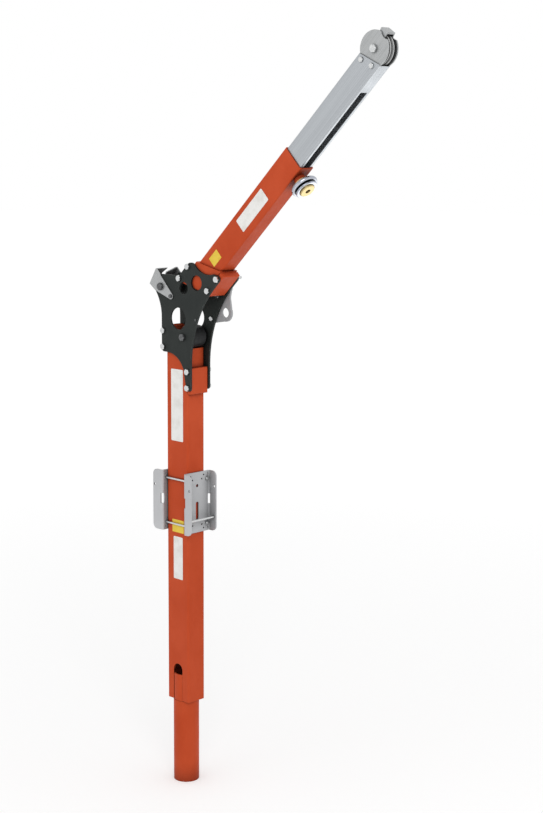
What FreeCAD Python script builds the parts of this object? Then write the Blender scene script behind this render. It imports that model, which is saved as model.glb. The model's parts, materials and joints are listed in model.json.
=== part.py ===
import FreeCAD, Part
import math
import os
from FreeCAD import Placement, Rotation, Vector

# Davit crane: a spigot pipe carries a rectangular mast, two elbow plates carry
# a fixed jib, and a boom slides in the jib and ends in a sheave head.
# Millimetres, +Z up, jib towards +X, plates parallel to XZ, origin at the
# middle of the spigot's lower end.

# Fits
fixed_gap = 0.2
hole_gap = 0.3
running_gap = 0.08
slide_gap = 0.5
side_gap = 0.8
overrun = 12.0

# Spigot pipe
spigot_diameter = 76.0
spigot_wall = 6.0
spigot_exposed = 254.0
spigot_inside = 80.0
spigot_relief = 2.0
spigot_neck_step = 1.5

# Mast tube and the elbow where its axis meets the jib's axis
mast_depth = 90.0
mast_width = 66.0
mast_wall = 6.0
mast_corner = 6.0
notch_height = 112.0
notch_width = 37.6
elbow_height = 1429.0
mast_front_drop = 114.5
mast_rear_drop = 51.0

# Jib: sleeve of the mast's section round the jib tube's foot
jib_angle = 44.0
sleeve_wall = 6.3
jib_wall = 3.0
jib_corner = 5.0
jib_foot_inset = 6.0
jib_mouth = 622.0
sleeve_top_foot = 64.0
sleeve_under_foot = 116.0
sleeve_top_end = 152.5
sleeve_under_end = 212.0

# Boom that slides in the jib tube
boom_wall = 3.0
boom_corner = 4.0
boom_tail = 470.0
boom_under_end = 993.0
boom_end_slant = 27.0
slot_width = 25.0
slot_low = 570.0
slot_end_land = 96.0
slot_corner = 3.0

# Elbow plates, measured from the mast's and the jib's axes
plate_thickness = 6.0
plate_front_edge = 13.0
plate_under_edge = 10.0
plate_rear_edge = 7.0
plate_jib_edge = 6.0
plate_bend_start = 160.0
tail_tip_radius = 9.5
tail_neck = 34.0
jib_tip_radius = 10.0
scoop_radius = 74.0
mast_scoop_depth = 203.0
mast_scoop_back = 34.0
jib_scoop_out = 221.0
jib_scoop_up = 34.0
scoop_foot = 31.5
plate_corner = 10.0
jib_shoulder_radius = 20.0
jib_shoulder_out = 147.0
jib_edge_start = 80.0
arm_top = 95.0
arm_top_reach = 66.0
arm_low = 49.0
arm_low_reach = 86.0
arm_flare_start = 29.0

# Round windows in the plates
jib_window_radius = 22.0
jib_window_out = 118.0
jib_window_down = 5.0
small_window_radius = 18.0
small_window_out = 67.0
small_window_up = 19.0
mast_window_radius = 32.0
mast_window_x = 12.0
mast_window_drop = 29.0

# Cross bolts that straddle the mast and the jib
bolt_diameter = 10.0
bolt_head_width = 16.0
bolt_head_height = 6.4
bolt_nut_height = 8.0
bolt_end = 3.0
bolt_side_gap = 1.0
rear_bolt_drops = (68.0, 115.0)
front_bolt_drops = (179.0, 226.0)
jib_lower_bolts = (138.0, 188.0)
jib_upper_bolts = (73.0, 124.0)

# Spacer blocks that the front bolts pass through
block_thickness = 15.0
block_edge = 2.0
mast_block_top = 169.0
mast_block_length = 76.0
jib_block_start = 122.0
jib_block_length = 86.0

# Cable rollers between the plates
roller_radius = 32.0
roller_inset = 8.0
roller_crown = 3.0
roller_x = 32.0
roller_drop = 81.0
rear_roller_radius = 24.0
rear_roller_inset = 4.0
rear_roller_x = -58.5
rear_roller_rise = 59.0
axle_diameter = 12.0
axle_head_width = 19.0
axle_head_height = 7.5
axle_nut_height = 9.0
bush_wall = 3.0
collar_wall = 4.0

# Cable keeper: a bent sheet over the end of the plates' upper arm
keeper_sheet = 3.0
keeper_top = (-76.0, 109.0)
keeper_back = (-104.0, 63.0)
keeper_heel = (-82.0, 47.0)
keeper_tip = (-16.5, 34.0)
keeper_tip_radius = 9.0
keeper_screw_diameter = 6.0
keeper_screw_head = 10.0
keeper_screw_head_height = 4.0
keeper_mouth_left = 2.0
keeper_mouth_right = 35.0
keeper_mouth_depth = 15.0
keeper_slot_left = -12.0
keeper_slot_right = 4.0
keeper_slot_depth = 34.0

# Anchor lug on the far plate
lug_thickness = 6.0
lug_eye_x = 125.5
lug_eye_drop = 8.5
lug_eye_radius = 14.0
lug_ear_radius = 25.5
lug_end_radius = 13.0
lug_waist_x = 143.0
lug_waist_rise = 35.0
lug_low_x = 76.0
lug_low_drop = 29.0
lug_high_out = 99.5
lug_high_inset = 2.6
lug_bolt_diameter = 8.0
lug_bolt_head = 13.0
lug_bolt_head_height = 5.3
lug_nut_height = 6.5

# Single screw in the near plate
near_screw_x = 86.0
near_screw_drop = 26.5
near_screw_diameter = 4.0
near_screw_head = 7.0
near_screw_head_height = 2.8

# Winch plates clamped to the front and rear of the mast
winch_drop = 568.0
winch_height = 180.0
front_winch_reach = 32.5
rear_winch_reach = 40.5
winch_sheet = 4.0
winch_bend = 3.0
flange_corner = 16.0
web_hole_diameter = 5.0
web_centre_hole_diameter = 9.0
web_centre_hole_rise = 50.0
web_hole_shares = ((0.252, 0.442), (0.18, 0.378), (0.41, 0.447))
slot_round_share = 0.45
web_slot_width = 10.5
web_slot_low = -52.0
web_slot_high = 2.0
strap_slot_cut = 8.5
strap_slot_low = -10.0
strap_slot_high = 20.0
pin_hole_diameter = 8.0
pin_hole_edge = 7.5
pin_hole_rise = 44.0
hook_bar_diameter = 7.0
hook_bar_drop = 47.0
hook_bar_seat = 2.0
rod_diameter = 6.0
rod_side_gap = 1.5
rod_spacing = 134.0
rod_nut_width = 10.0
rod_nut_height = 5.0
rod_nut_room = 1.2
rod_end = 2.0

# Sheave head at the end of the boom
head_overhang = 13.0
head_up = 9.0
head_radius = 46.5
head_plate_thickness = 4.0
head_tail_length = 76.0
head_tail_gap = 5.0
bite_radius = 25.0
bite_out = 65.0
sheave_radius = 43.0
washer_thickness = 7.4
sheave_groove = 6.0
groove_half_share = 0.5
sheave_rim = 3.0
sheave_web = 11.0
sheave_hub_radius = 16.0
head_screw_diameter = 8.0
head_screw_head = 13.0
head_screw_head_height = 4.0
head_screw_inset = 13.0
head_screw_spread = 18.0
strap_bar = 6.0
strap_sheet = 3.0
strap_width = 24.0
strap_angle = 13.0
strap_clearance = 5.0
strap_leg = 9.0
strap_bend = 2.5

# Clamp under the jib's mouth: wheel, hub, stud and pressure plate
clamp_out = 584.0
boss_radius = 16.0
boss_height = 13.0
stud_diameter = 12.0
stud_end = 1.0
pressure_length = 44.0
pressure_gap = 2.0
pressure_height = 5.0
hub_radius = 22.0
hub_length = 33.0
hub_face_chamfer = 2.0
hub_recess_radius = 7.5
hub_recess_depth = 7.0
wheel_radius = 38.5
wheel_rim = 5.5
wheel_web = 4.0
wheel_collar = 4.0
wheel_collar_length = 23.5
wheel_set_back = 5.0
wheel_rim_out = 14.0
wheel_lip_radius = 31.5
wheel_lip_thickness = 5.0
wheel_lip_round = 2.0

# Sizes that follow from those above
half_depth = mast_depth / 2
half_width = mast_width / 2
plate_outer = half_width + plate_thickness
mast_bottom = spigot_exposed
bolt_offset = half_depth + bolt_side_gap + bolt_diameter / 2
plate_front = bolt_offset + plate_front_edge
plate_under = bolt_offset + plate_under_edge
plate_rear = bolt_offset + plate_rear_edge
plate_jib_top = bolt_offset + plate_jib_edge
lug_high_down = half_depth - lug_high_inset
roller_length = mast_width - 2 * roller_inset
rear_roller_length = mast_width - 2 * rear_roller_inset
jib_depth = mast_depth - 2 * (sleeve_wall + fixed_gap)
jib_width = mast_width - 2 * (sleeve_wall + fixed_gap)
boom_depth = jib_depth - 2 * (jib_wall + slide_gap)
boom_width = jib_width - 2 * (jib_wall + slide_gap)
boom_inner = boom_width / 2 - boom_wall
head_plate_outer = boom_inner - fixed_gap
head_plate_inner = head_plate_outer - head_plate_thickness
head_tail_depth = boom_depth - 2 * (boom_wall + head_tail_gap)
washer_face = head_plate_inner - fixed_gap
sheave_width = 2 * (washer_face - washer_thickness - fixed_gap)
pressure_width = 2 * (boom_inner - pressure_gap)
axle_hole = axle_diameter / 2 + running_gap
bush_radius = axle_hole + bush_wall
jib_under = jib_depth / 2
boss_face = jib_under + boss_height
spigot_neck = spigot_diameter / 2 - spigot_neck_step
slot_high = boom_under_end - slot_end_land
boom_top_end = boom_under_end - boom_end_slant
head_out = boom_under_end + head_overhang
head_tail = head_out - head_tail_length
winch_middle = elbow_height - winch_drop
rod_offset = half_width + rod_side_gap + rod_diameter / 2
rod_nut_corner = rod_nut_width / 2 / math.cos(math.radians(30))
winch_width = 2 * (rod_offset + rod_nut_corner + rod_nut_room + winch_bend + winch_sheet)

elbow = Vector(0, 0, elbow_height)
along_x = Vector(1, 0, 0)
along_y = Vector(0, 1, 0)
along_z = Vector(0, 0, 1)
jib_place = Placement(elbow, Rotation(along_y, -jib_angle))
jib_direction = jib_place.Rotation.multVec(along_x)
jib_normal = jib_place.Rotation.multVec(along_z)


def on_jib(shape):
    placed = shape.copy()
    placed.Placement = jib_place.multiply(placed.Placement)
    return placed


def jib_point(out, up):
    return elbow + jib_direction * out + jib_normal * up


def elbow_point(x, rise):
    return elbow + along_x * x + along_z * rise


def at_depth(point, y):
    return Vector(point.x, y, point.z)


def box(low, high):
    size = high - low
    return Part.makeBox(size.x, size.y, size.z, low)


def rod(start, end, radius):
    axis = end - start
    return Part.makeCylinder(radius, axis.Length, start, axis)


def rod_across(point, y_start, y_end, radius):
    return rod(at_depth(point, y_start), at_depth(point, y_end), radius)


def ring(start, end, outer, inner):
    return rod(start, end, outer).cut(rod(start, end, inner))


def hexagon(start, end, across_flats):
    axis = end - start
    axis.normalize()
    side = along_z if abs(axis.z) < math.cos(math.radians(45)) else along_x
    other = axis.cross(side)
    corner = across_flats / 2 / math.cos(math.radians(30))
    points = []
    for step in range(6):
        angle = math.radians(60 * step)
        points.append(start + side * (corner * math.cos(angle)) + other * (corner * math.sin(angle)))
    face = Part.Face(Part.makePolygon(points + points[:1]))
    return face.extrude(end - start)


def nut(start, end, across_flats, bore):
    return hexagon(start, end, across_flats).cut(rod(start, end, bore))


def rounded_prism(origin, side_a, size_a, side_b, size_b, corner, length):
    a = size_a / 2
    b = size_b / 2
    bulge = corner * (1 - math.cos(math.radians(45)))

    def spot(s, t):
        return origin + side_a * s + side_b * t

    edges = [
        Part.makeLine(spot(corner - a, -b), spot(a - corner, -b)),
        Part.Arc(spot(a - corner, -b), spot(a - bulge, bulge - b), spot(a, corner - b)).toShape(),
        Part.makeLine(spot(a, corner - b), spot(a, b - corner)),
        Part.Arc(spot(a, b - corner), spot(a - bulge, b - bulge), spot(a - corner, b)).toShape(),
        Part.makeLine(spot(a - corner, b), spot(corner - a, b)),
        Part.Arc(spot(corner - a, b), spot(bulge - a, b - bulge), spot(-a, b - corner)).toShape(),
        Part.makeLine(spot(-a, b - corner), spot(-a, corner - b)),
        Part.Arc(spot(-a, corner - b), spot(bulge - a, bulge - b), spot(corner - a, -b)).toShape(),
    ]
    face = Part.Face(Part.Wire(edges))
    return face.extrude(side_a.cross(side_b) * length)


class Outline:
    # A closed outline of lines and arcs, drawn from point to point.
    def __init__(self, start):
        self.start = start
        self.here = start
        self.edges = []

    def line(self, point):
        self.edges.append(Part.makeLine(self.here, point))
        self.here = point

    def arc(self, middle, point):
        self.edges.append(Part.Arc(self.here, middle, point).toShape())
        self.here = point

    def plate(self, thickness):
        if (self.here - self.start).Length > fixed_gap:
            self.line(self.start)
        return Part.Face(Part.Wire(self.edges)).extrude(thickness)


def polygon_plate(points, thickness):
    return Part.Face(Part.makePolygon(points + points[:1])).extrude(thickness)


def on_circle(centre, radius, right, up, degrees):
    angle = math.radians(degrees)
    return centre + right * (radius * math.cos(angle)) + up * (radius * math.sin(angle))


def group(shapes):
    return Part.makeCompound(shapes)


def both_sides(shape):
    return [shape, shape.mirror(Vector(), along_y)]


# Spigot and mast

def spigot_pipe():
    # The end inside the mast is turned down, from just below the mast's edge.
    radius = spigot_diameter / 2
    shoulder = along_z * (spigot_exposed - spigot_relief)
    top = along_z * (spigot_exposed + spigot_inside)
    outside = rod(Vector(), shoulder, radius).fuse(rod(shoulder, top, spigot_neck))
    return outside.cut(rod(along_z * -overrun, top + along_z * overrun, radius - spigot_wall))


def mast_tube():
    low = along_z * mast_bottom
    length = elbow_height - mast_rear_drop - mast_bottom
    outside = rounded_prism(low, along_x, mast_depth, along_y, mast_width, mast_corner, length)
    inside = rounded_prism(
        low - along_z * overrun, along_x, mast_depth - 2 * mast_wall,
        along_y, mast_width - 2 * mast_wall, mast_corner - mast_wall / 2, length + 2 * overrun)
    tube = outside.cut(inside)
    wall_inside = half_depth - mast_wall
    top_cut = polygon_plate([
        at_depth(elbow_point(half_depth + overrun, -mast_front_drop), -half_width - overrun),
        at_depth(elbow_point(wall_inside, -mast_front_drop), -half_width - overrun),
        at_depth(elbow_point(-half_depth, -mast_rear_drop), -half_width - overrun),
        at_depth(elbow_point(-half_depth, overrun), -half_width - overrun),
        at_depth(elbow_point(half_depth + overrun, overrun), -half_width - overrun),
    ], along_y * (mast_width + 2 * overrun))
    tube = tube.cut(top_cut)
    # The pipe is wider than the mast, so it shows through arched notches in both sides.
    notch_half = notch_width / 2
    arch = mast_bottom + notch_height - notch_half
    tube = tube.cut(rod(along_z * (mast_bottom - overrun), along_z * arch, spigot_neck + fixed_gap))
    across = along_y * (half_width + overrun)
    notch_top = along_z * arch
    tube = tube.cut(rod(notch_top - across, notch_top + across, notch_half))
    notch_low = Vector(-notch_half, -half_width - overrun, mast_bottom - overrun)
    return tube.cut(box(notch_low, Vector(notch_half, half_width + overrun, arch)))


def mast_block():
    low = elbow_point(half_depth, -mast_block_top - mast_block_length)
    high = elbow_point(half_depth + block_thickness, -mast_block_top)
    half = half_width - fixed_gap
    block = box(at_depth(low, -half), at_depth(high, half))
    front = [e for e in block.Edges if e.BoundBox.XMin > half_depth + block_thickness - fixed_gap]
    block = block.makeChamfer(block_edge, front)
    for drop in front_bolt_drops:
        hole = elbow_point(bolt_offset, -drop)
        block = block.cut(rod_across(hole, -half_width, half_width, bolt_diameter / 2 + hole_gap))
    return block


# Elbow plates

def plate_outline(y):
    def mast_spot(x, rise):
        return at_depth(elbow_point(x, rise), y)

    def jib_spot(out, up):
        return at_depth(jib_point(out, up), y)

    tail = mast_spot(plate_front - tail_tip_radius, -front_bolt_drops[1])
    neck_back = tail_neck + mast_scoop_back
    neck = mast_spot(tail_neck, math.sqrt(scoop_radius ** 2 - neck_back ** 2) - mast_scoop_depth)
    mast_scoop = mast_spot(-mast_scoop_back, -mast_scoop_depth)
    jib_scoop = jib_spot(jib_scoop_out, jib_scoop_up)
    jib_tip = jib_spot(jib_lower_bolts[1], jib_tip_radius - plate_under)

    outline = Outline(mast_spot(plate_front, -front_bolt_drops[1]))
    outline.line(mast_spot(plate_front, -plate_bend_start))
    # Inner bend between the straight front edges along the mast and the jib.
    half_turn = math.radians((90 - jib_angle) / 2)
    jib_slope = math.radians(jib_angle)
    corner_rise = (plate_front * math.sin(jib_slope) - plate_under) / math.cos(jib_slope)
    tangent = plate_bend_start + corner_rise
    bend_radius = tangent / math.tan(half_turn)
    bend_centre = mast_spot(plate_front + bend_radius, -plate_bend_start)
    bend_middle = on_circle(bend_centre, bend_radius, along_x, along_z, 180 - math.degrees(half_turn))
    bend_end = on_circle(bend_centre, bend_radius, along_x, along_z, 180 - math.degrees(2 * half_turn))
    outline.arc(bend_middle, bend_end)
    outline.line(jib_spot(jib_lower_bolts[1], -plate_under))
    outline.arc(on_circle(jib_tip, jib_tip_radius, jib_direction, jib_normal, -20),
                on_circle(jib_tip, jib_tip_radius, jib_direction, jib_normal, 50))
    scoop_low = math.sqrt(scoop_radius ** 2 - (scoop_foot + jib_scoop_up) ** 2)
    outline.line(jib_spot(jib_scoop_out - scoop_low, -scoop_foot))
    outline.arc(on_circle(jib_scoop, scoop_radius, jib_direction, jib_normal, 208),
                on_circle(jib_scoop, scoop_radius, jib_direction, jib_normal, 178))
    shoulder_up = plate_jib_top - jib_shoulder_radius
    shoulder = jib_spot(jib_shoulder_out - jib_shoulder_radius, shoulder_up)
    outline.line(jib_spot(jib_shoulder_out, shoulder_up))
    outline.arc(on_circle(shoulder, jib_shoulder_radius, jib_direction, jib_normal, 45),
                on_circle(shoulder, jib_shoulder_radius, jib_direction, jib_normal, 90))
    outline.line(jib_spot(jib_edge_start, plate_jib_top))
    # Upper arm that carries the rear roller and the cable keeper.
    outline.line(mast_spot(0, arm_top))
    outline.line(mast_spot(-arm_top_reach, arm_top))
    outline.line(mast_spot(-arm_low_reach, arm_low))
    flare_out = arm_low_reach - plate_rear
    flare_rise = arm_low + arm_flare_start
    flare_radius = (flare_out ** 2 + flare_rise ** 2) / (2 * flare_out)
    flare_centre = mast_spot(-plate_rear - flare_radius, -arm_flare_start)
    flare_turn = math.degrees(math.asin(flare_rise / flare_radius))
    outline.arc(on_circle(flare_centre, flare_radius, along_x, along_z, flare_turn / 2),
                mast_spot(-plate_rear, -arm_flare_start))
    # Rear edge, lower corner, scoop and narrowing tail.
    low_corner = mast_spot(plate_corner - plate_rear, scoop_radius - mast_scoop_depth + plate_corner)
    outline.line(mast_spot(-plate_rear, scoop_radius - mast_scoop_depth + plate_corner))
    outline.arc(on_circle(low_corner, plate_corner, along_x, along_z, 225),
                on_circle(low_corner, plate_corner, along_x, along_z, 270))
    outline.line(mast_spot(-mast_scoop_back, scoop_radius - mast_scoop_depth))
    outline.arc(on_circle(mast_scoop, scoop_radius, along_x, along_z, 55), neck)
    outline.line(on_circle(tail, tail_tip_radius, along_x, along_z, 190))
    outline.arc(on_circle(tail, tail_tip_radius, along_x, along_z, 275), outline.start)
    return outline


def cross_bolt_points():
    points = [elbow_point(-bolt_offset, -drop) for drop in rear_bolt_drops]
    points += [elbow_point(bolt_offset, -drop) for drop in front_bolt_drops]
    points += [jib_point(out, -bolt_offset) for out in jib_lower_bolts]
    points += [jib_point(out, bolt_offset) for out in jib_upper_bolts]
    return points


def roller_point():
    return elbow_point(roller_x, -roller_drop)


def rear_roller_point():
    return elbow_point(rear_roller_x, rear_roller_rise)


def lug_low_point():
    return elbow_point(lug_low_x, -lug_low_drop)


def lug_high_point():
    return jib_point(lug_high_out, -lug_high_down)


def near_screw_point():
    return elbow_point(near_screw_x, -near_screw_drop)


def keeper_screw_point():
    return elbow_point(*keeper_tip)


def elbow_plate(y, small_holes):
    plate = plate_outline(y).plate(along_y * plate_thickness)
    start = y - overrun
    end = y + plate_thickness + overrun
    windows = (
        (jib_point(jib_window_out, -jib_window_down), jib_window_radius),
        (jib_point(small_window_out, small_window_up), small_window_radius),
        (elbow_point(mast_window_x, -mast_window_drop), mast_window_radius),
    )
    for centre, radius in windows:
        plate = plate.cut(rod_across(centre, start, end, radius))
    for centre in cross_bolt_points():
        plate = plate.cut(rod_across(centre, start, end, bolt_diameter / 2 + hole_gap))
    for centre in (roller_point(), rear_roller_point()):
        plate = plate.cut(rod_across(centre, start, end, axle_diameter / 2 + fixed_gap))
    plate = plate.cut(rod_across(keeper_screw_point(), start, end, keeper_screw_diameter / 2 + hole_gap))
    for centre, diameter in small_holes:
        plate = plate.cut(rod_across(centre, start, end, diameter / 2 + hole_gap))
    return plate


# Bolts: head on the near side, nut on the far side

def cross_bolt(point, head_at, nut_at, diameter, head_width, head_height, nut_height):
    head = hexagon(at_depth(point, head_at - head_height), at_depth(point, head_at), head_width)
    shank = rod_across(point, head_at - head_height, nut_at + nut_height + bolt_end, diameter / 2)
    return head.fuse(shank).removeSplitter()


def cross_nut(point, nut_at, diameter, width, height):
    return nut(at_depth(point, nut_at), at_depth(point, nut_at + height), width, diameter / 2 + running_gap)


def grip_end(point):
    # The anchor lug sits under the nut of the jib bolt that passes through it.
    shared = jib_point(jib_lower_bolts[0], -bolt_offset)
    return plate_outer + lug_thickness if (point - shared).Length < bolt_diameter else plate_outer


def straddle_bolts(points):
    return group([
        cross_bolt(point, -plate_outer, grip_end(point), bolt_diameter,
                   bolt_head_width, bolt_head_height, bolt_nut_height)
        for point in points])


def straddle_nuts():
    return group([
        cross_nut(point, grip_end(point), bolt_diameter, bolt_head_width, bolt_nut_height)
        for point in cross_bolt_points()])


# Cable rollers

def roller(point, radius, length):
    half = length / 2
    body = rod_across(point, -half, half, radius)
    rims = [edge for edge in body.Edges if edge.Curve.TypeId == "Part::GeomCircle"]
    body = body.makeFillet(roller_crown, rims)
    return body.cut(rod_across(point, -half - overrun, half + overrun, bush_radius + fixed_gap))


def roller_bush(point, length):
    half = length / 2
    return ring(at_depth(point, -half), at_depth(point, half), bush_radius, axle_hole)


def roller_axle(point, side):
    return cross_bolt(point, -side, side, axle_diameter, axle_head_width, axle_head_height, axle_nut_height)


def roller_nut(point, side):
    return cross_nut(point, side, axle_diameter, axle_head_width, axle_nut_height)


def roller_collars(point, length):
    near = ring(at_depth(point, -half_width), at_depth(point, -length / 2 - side_gap),
                axle_hole + collar_wall, axle_hole)
    return group(both_sides(near))


# Cable keeper

def cable_keeper():
    low = -plate_outer - keeper_sheet
    top = at_depth(elbow_point(*keeper_top), low)
    back = at_depth(elbow_point(*keeper_back), low)
    heel = at_depth(elbow_point(*keeper_heel), low)
    tip = at_depth(elbow_point(*keeper_tip), low)
    run = top - tip
    lean = math.degrees(math.atan2(run.z, run.x))
    base = math.degrees(math.atan2(heel.z - tip.z, heel.x - tip.x))
    outline = Outline(back)
    outline.line(top)
    outline.line(on_circle(tip, keeper_tip_radius, along_x, along_z, lean - 90))
    outline.arc(on_circle(tip, keeper_tip_radius, along_x, along_z, (lean + base) / 2 - 180),
                on_circle(tip, keeper_tip_radius, along_x, along_z, base + 90))
    outline.line(heel)
    cheek = outline.plate(along_y * keeper_sheet)
    hole = keeper_screw_diameter / 2 + hole_gap
    cheek = cheek.cut(rod_across(keeper_screw_point(), low - overrun, low + overrun, hole))
    axle_seat = axle_diameter / 2 + fixed_gap
    cheek = cheek.cut(rod_across(rear_roller_point(), low - overrun, low + overrun, axle_seat))
    # The web joins the two cheeks at their outer edge and has an open slanted mouth.
    rise = top - back
    length = rise.Length
    rise.normalize()
    inward = rise.cross(along_y)
    web_face = [back, top, top + inward * keeper_sheet, back + inward * keeper_sheet]
    web = polygon_plate(web_face, along_y * (-2 * low))

    def web_spot(y, drop):
        return at_depth(back + rise * (length - drop) - inward * overrun, y)

    mouth = Outline(web_spot(keeper_mouth_left, -overrun))
    mouth.line(web_spot(keeper_mouth_left, 0))
    mouth.line(web_spot(keeper_slot_left, keeper_mouth_depth))
    slot_middle = (keeper_slot_left + keeper_slot_right) / 2
    round_end = (keeper_slot_right - keeper_slot_left) / 2
    straight_depth = keeper_slot_depth - round_end
    mouth.line(web_spot(keeper_slot_left, straight_depth))
    mouth.arc(web_spot(slot_middle, keeper_slot_depth), web_spot(keeper_slot_right, straight_depth))
    mouth.line(web_spot(keeper_slot_right, keeper_mouth_depth))
    mouth.line(web_spot(keeper_mouth_right, 0))
    mouth.line(web_spot(keeper_mouth_right, -overrun))
    web = web.cut(mouth.plate(inward * (keeper_sheet + 2 * overrun)))
    near, far = both_sides(cheek)
    return near.fuse([far, web]).removeSplitter()


def keeper_screws():
    point = keeper_screw_point()
    seat = -plate_outer - keeper_sheet
    top = seat - keeper_screw_head_height
    head = hexagon(at_depth(point, top), at_depth(point, seat), keeper_screw_head)
    shank = rod_across(point, top, -half_width, keeper_screw_diameter / 2)
    return group(both_sides(head.fuse(shank).removeSplitter()))


# Anchor lug

def anchor_lug():
    y = plate_outer
    eye = at_depth(elbow_point(lug_eye_x, -lug_eye_drop), y)
    upper = at_depth(jib_point(jib_lower_bolts[0], -bolt_offset), y)
    low = at_depth(lug_low_point(), y)
    high = at_depth(lug_high_point(), y)
    outline = Outline(upper + along_x * lug_end_radius)
    outline.line(at_depth(elbow_point(lug_waist_x, lug_waist_rise), y))
    outline.line(on_circle(eye, lug_ear_radius, along_x, along_z, 25))
    outline.arc(on_circle(eye, lug_ear_radius, along_x, along_z, -35),
                on_circle(eye, lug_ear_radius, along_x, along_z, -95))
    outline.line(on_circle(low, lug_end_radius, along_x, along_z, -85))
    outline.arc(on_circle(low, lug_end_radius, along_x, along_z, 200),
                on_circle(low, lug_end_radius, along_x, along_z, 150))
    outline.line(on_circle(high, lug_end_radius, along_x, along_z, 150))
    outline.arc(on_circle(high, lug_end_radius, along_x, along_z, 135),
                on_circle(high, lug_end_radius, along_x, along_z, 120))
    outline.line(on_circle(upper, lug_end_radius, along_x, along_z, 120))
    outline.arc(on_circle(upper, lug_end_radius, along_x, along_z, 60), outline.start)
    lug = outline.plate(along_y * lug_thickness)
    lug = lug.cut(rod_across(eye, y - overrun, y + overrun, lug_eye_radius))
    lug = lug.cut(rod_across(upper, y - overrun, y + overrun, bolt_diameter / 2 + hole_gap))
    for point in (low, high):
        lug = lug.cut(rod_across(point, y - overrun, y + overrun, lug_bolt_diameter / 2 + hole_gap))
    return lug


def lug_bolts():
    nut_at = plate_outer + lug_thickness
    return group([
        cross_bolt(point, half_width, nut_at, lug_bolt_diameter,
                   lug_bolt_head, lug_bolt_head_height, lug_nut_height)
        for point in (lug_low_point(), lug_high_point())])


def lug_nuts():
    nut_at = plate_outer + lug_thickness
    return group([
        cross_nut(point, nut_at, lug_bolt_diameter, lug_bolt_head, lug_nut_height)
        for point in (lug_low_point(), lug_high_point())])


def near_plate_screw():
    point = near_screw_point()
    top = -plate_outer - near_screw_head_height
    head = hexagon(at_depth(point, top), at_depth(point, -plate_outer), near_screw_head)
    shank = rod_across(point, top, -half_width, near_screw_diameter / 2)
    return head.fuse(shank).removeSplitter()


# Winch plates, built for the front of the mast and mirrored to the rear

def winch_plate(winch_reach):
    half = winch_width / 2
    low = winch_middle - winch_height / 2
    back = half_depth
    reach = back + winch_reach
    outer_bend = winch_bend + winch_sheet
    origin = Vector(reach, 0, low)
    outside = rounded_prism(origin, along_x, 2 * winch_reach, along_y, winch_width, outer_bend, winch_height)
    inside = rounded_prism(
        origin - along_z * overrun, along_x, 2 * (winch_reach - winch_sheet),
        along_y, winch_width - 2 * winch_sheet, winch_bend, winch_height + 2 * overrun)
    front_half = box(Vector(reach, -half - overrun, low - overrun),
                     Vector(reach + winch_reach + overrun, half + overrun, low + winch_height + overrun))
    plate = outside.cut(inside).cut(front_half)
    for edge_z, into in ((low, 1), (low + winch_height, -1)):
        plate = plate.cut(flange_corner_cut(reach, edge_z, into))
    for centre, radius in web_holes():
        plate = plate.cut(rod(centre - along_x * overrun, centre + along_x * overrun, radius))
    plate = plate.cut(web_slot())
    # Strap slots go through the bends between web and flanges.
    near_slot = box(Vector(back - overrun, -half - overrun, winch_middle + strap_slot_low),
                    Vector(back + strap_slot_cut, strap_slot_cut - half, winch_middle + strap_slot_high))
    plate = plate.cut(both_sides(near_slot))
    pin = Vector(reach - pin_hole_edge, 0, winch_middle + pin_hole_rise)
    return plate.cut(rod_across(pin, -half - overrun, half + overrun, pin_hole_diameter / 2))


def flange_corner_cut(reach, edge_z, into):
    # What lies outside the quarter circle at one corner of both flanges.
    y = -winch_width / 2 - overrun
    corner = Vector(reach, y, edge_z)
    centre = corner - along_x * flange_corner + along_z * (into * flange_corner)
    outline = Outline(corner + along_x * overrun - along_z * (into * overrun))
    outline.line(Vector(centre.x, y, edge_z - into * overrun))
    outline.line(Vector(centre.x, y, edge_z))
    outline.arc(on_circle(centre, flange_corner, along_x, along_z, -45 * into), Vector(reach, y, centre.z))
    outline.line(Vector(reach + overrun, y, centre.z))
    return outline.plate(along_y * (winch_width + 2 * overrun))


def web_holes():
    x = half_depth + winch_sheet / 2
    holes = [(Vector(x, 0, winch_middle + web_centre_hole_rise), web_centre_hole_diameter / 2)]
    for side, level in corners():
        for y_share, z_share in web_hole_shares:
            spot = Vector(x, side * y_share * winch_width, winch_middle + level * z_share * winch_height)
            holes.append((spot, web_hole_diameter / 2))
    for y, z in rod_places():
        holes.append((Vector(x, y, z), rod_diameter / 2 + hole_gap))
    return holes


def web_slot():
    origin = Vector(half_depth - overrun, 0, winch_middle + (web_slot_low + web_slot_high) / 2)
    corner = web_slot_width * slot_round_share
    return rounded_prism(origin, along_y, web_slot_width, along_z, web_slot_high - web_slot_low,
                         corner, 2 * overrun + winch_sheet)


def corners():
    return [(side, level) for side in (-1, 1) for level in (-1, 1)]


def rod_places():
    return [(side * rod_offset, winch_middle + level * rod_spacing / 2) for side, level in corners()]


def to_rear(shape):
    return shape.mirror(Vector(), along_x)


def clamp_rods():
    end = half_depth + winch_sheet + rod_nut_height + rod_end
    return group([rod(Vector(-end, y, z), Vector(end, y, z), rod_diameter / 2) for y, z in rod_places()])


def clamp_rod_nuts():
    nuts = []
    for y, z in rod_places():
        start = Vector(half_depth + winch_sheet, y, z)
        one = nut(start, start + along_x * rod_nut_height, rod_nut_width, rod_diameter / 2 + running_gap)
        nuts += [one, to_rear(one)]
    return group(nuts)


def hook_bar(radius):
    # The bar's ends sit in blind seats in the front plate's flanges.
    spot = Vector(half_depth + front_winch_reach - pin_hole_edge, 0, winch_middle - hook_bar_drop)
    half = winch_width / 2 - winch_sheet + hook_bar_seat
    return rod_across(spot, -half, half, radius)


# Jib, in its own axes: X along the jib, Z square to it

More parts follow.
